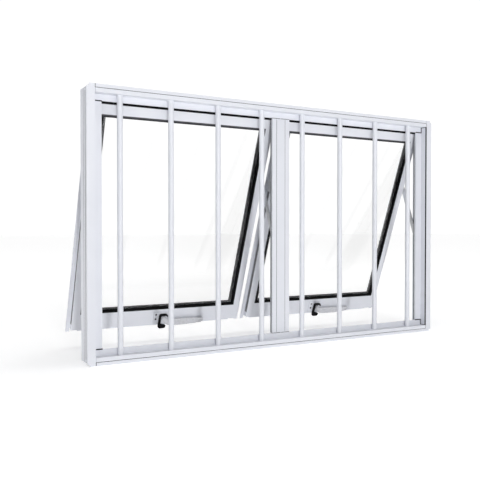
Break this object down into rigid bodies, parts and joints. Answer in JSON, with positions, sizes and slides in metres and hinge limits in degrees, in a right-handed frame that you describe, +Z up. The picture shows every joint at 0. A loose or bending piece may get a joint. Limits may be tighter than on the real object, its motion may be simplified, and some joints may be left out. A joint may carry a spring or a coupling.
{
  "type": "top-projecting two-sash window with security bars",
  "caption": "White aluminium top-projecting window: fixed frame with round security bars, mullion and paired tilting glazed sashes on friction stays with lever latches.",
  "frame": {"origin": "underside of the sill body, at the middle of the window's width and of the frame's depth", "axes": "+X along the window's width to the right as seen from the room, +Y from the room outward, +Z up"},
  "size_m": [1, 0.2387, 0.6],
  "materials": {
    "white_coat": "satin white powder coat on aluminium",
    "glass": "clear float glass",
    "black_rubber": "matt EPDM",
    "grey_rubber": "matt EPDM, dark grey",
    "stainless": "brushed stainless steel",
    "zinc_screws": "zinc plated",
    "shoe_nylon": "moulded nylon",
    "black_nylon": "moulded black nylon",
    "white_lever": "white lacquer",
    "plain_aluminium": "mill finish"
  },
  "bodies": {
    "frame": {"jamb_left": "white_coat", "jamb_right": "white_coat", "head": "white_coat", "sill": "white_coat", "mullion": "white_coat", "mullion_cover": "white_coat", "mullion_cleats": "plain_aluminium", "bar_1": "white_coat", "bar_2": "white_coat", "bar_3": "white_coat", "bar_4": "white_coat", "bar_5": "white_coat", "bar_6": "white_coat", "bar_7": "white_coat", "bar_8": "white_coat", "bar_plugs": "plain_aluminium", "frame_screws": "white_coat", "room_seals": "black_rubber", "weather_seals": "black_rubber", "stay_tracks": "stainless", "stay_foot_pins": "zinc_screws"},
    "left_sash": {"left_stile_a": "white_coat", "left_stile_b": "white_coat", "left_top_rail": "white_coat", "left_bottom_rail": "white_coat", "left_glass": "glass", "left_gasket_in": "black_rubber", "left_gasket_out": "grey_rubber", "left_stile_seals": "black_rubber", "left_stay_plates": "stainless", "left_plate_screws": "zinc_screws", "left_latch_base": "white_lever", "left_latch_screws": "zinc_screws"},
    "left_latch": {"left_latch_hook": "black_nylon", "left_latch_lever": "white_lever", "left_latch_cap": "white_lever"},
    "left_arm_a_body": {"left_arm_a": "stainless"},
    "left_shoe_a_body": {"left_shoe_a": "shoe_nylon"},
    "left_arm_b_body": {"left_arm_b": "stainless"},
    "left_shoe_b_body": {"left_shoe_b": "shoe_nylon"},
    "right_sash": {"right_stile_a": "white_coat", "right_stile_b": "white_coat", "right_top_rail": "white_coat", "right_bottom_rail": "white_coat", "right_glass": "glass", "right_gasket_in": "black_rubber", "right_gasket_out": "grey_rubber", "right_stile_seals": "black_rubber", "right_stay_plates": "stainless", "right_plate_screws": "zinc_screws", "right_latch_base": "white_lever", "right_latch_screws": "zinc_screws"},
    "right_latch": {"right_latch_hook": "black_nylon", "right_latch_lever": "white_lever", "right_latch_cap": "white_lever"},
    "right_arm_a_body": {"right_arm_a": "stainless"},
    "right_shoe_a_body": {"right_shoe_a": "shoe_nylon"},
    "right_arm_b_body": {"right_arm_b": "stainless"},
    "right_shoe_b_body": {"right_shoe_b": "shoe_nylon"}
  },
  "joints": [
    {"name": "left_arm_a_foot", "type": "hinge", "parent": "frame", "child": "left_arm_a_body", "pos_m": [-0.47895, 0.00656, 0.25915], "axis": [1, 0, 0], "range_deg": [-15, 20.2]},
    {"name": "left_open", "type": "hinge", "parent": "left_arm_a_body", "child": "left_sash", "pos_m": [-0.47895, 0.06155, 0.40941], "axis": [1, 0, 0], "range_deg": [-40.2, 29.8]},
    {"name": "left_arm_b_foot", "type": "hinge", "parent": "frame", "child": "left_arm_b_body", "pos_m": [-0.01105, 0.00656, 0.25915], "axis": [1, 0, 0], "range_deg": [-15, 20.2]},
    {"name": "left_shoe_a_turn", "type": "hinge", "parent": "left_sash", "child": "left_shoe_a_body", "pos_m": [-0.4845, 0.00656, 0.55966], "axis": [1, 0, 0], "range_deg": [-15, 20.2]},
    {"name": "left_shoe_b_turn", "type": "hinge", "parent": "left_sash", "child": "left_shoe_b_body", "pos_m": [-0.0055, 0.00656, 0.55966], "axis": [1, 0, 0], "range_deg": [-15, 20.2]},
    {"name": "left_latch_turn", "type": "hinge", "parent": "left_sash", "child": "left_latch", "pos_m": [-0.237, 0.18375, 0.058], "axis": [0, -0.9391, -0.3437], "range_deg": [0, 90]},
    {"name": "right_arm_a_foot", "type": "hinge", "parent": "frame", "child": "right_arm_a_body", "pos_m": [0.01105, 0.00656, 0.25915], "axis": [1, 0, 0], "range_deg": [-15, 20.2]},
    {"name": "right_open", "type": "hinge", "parent": "right_arm_a_body", "child": "right_sash", "pos_m": [0.01105, 0.06155, 0.40941], "axis": [1, 0, 0], "range_deg": [-40.2, 29.8]},
    {"name": "right_arm_b_foot", "type": "hinge", "parent": "frame", "child": "right_arm_b_body", "pos_m": [0.47895, 0.00656, 0.25915], "axis": [1, 0, 0], "range_deg": [-15, 20.2]},
    {"name": "right_shoe_a_turn", "type": "hinge", "parent": "right_sash", "child": "right_shoe_a_body", "pos_m": [0.0055, 0.00656, 0.55966], "axis": [1, 0, 0], "range_deg": [-15, 20.2]},
    {"name": "right_shoe_b_turn", "type": "hinge", "parent": "right_sash", "child": "right_shoe_b_body", "pos_m": [0.4845, 0.00656, 0.55966], "axis": [1, 0, 0], "range_deg": [-15, 20.2]},
    {"name": "right_latch_turn", "type": "hinge", "parent": "right_sash", "child": "right_latch", "pos_m": [0.253, 0.18375, 0.058], "axis": [0, -0.9391, -0.3437], "range_deg": [0, 90]}
  ],
  "couplings": [
    {"joint": "left_arm_a_foot", "follows": "left_open", "ratio": -0.5},
    {"joint": "left_arm_b_foot", "follows": "left_open", "ratio": -0.5},
    {"joint": "left_shoe_a_turn", "follows": "left_open", "ratio": -0.5},
    {"joint": "left_shoe_b_turn", "follows": "left_open", "ratio": -0.5},
    {"joint": "right_arm_a_foot", "follows": "right_open", "ratio": -0.5},
    {"joint": "right_arm_b_foot", "follows": "right_open", "ratio": -0.5},
    {"joint": "right_shoe_a_turn", "follows": "right_open", "ratio": -0.5},
    {"joint": "right_shoe_b_turn", "follows": "right_open", "ratio": -0.5}
  ]
}
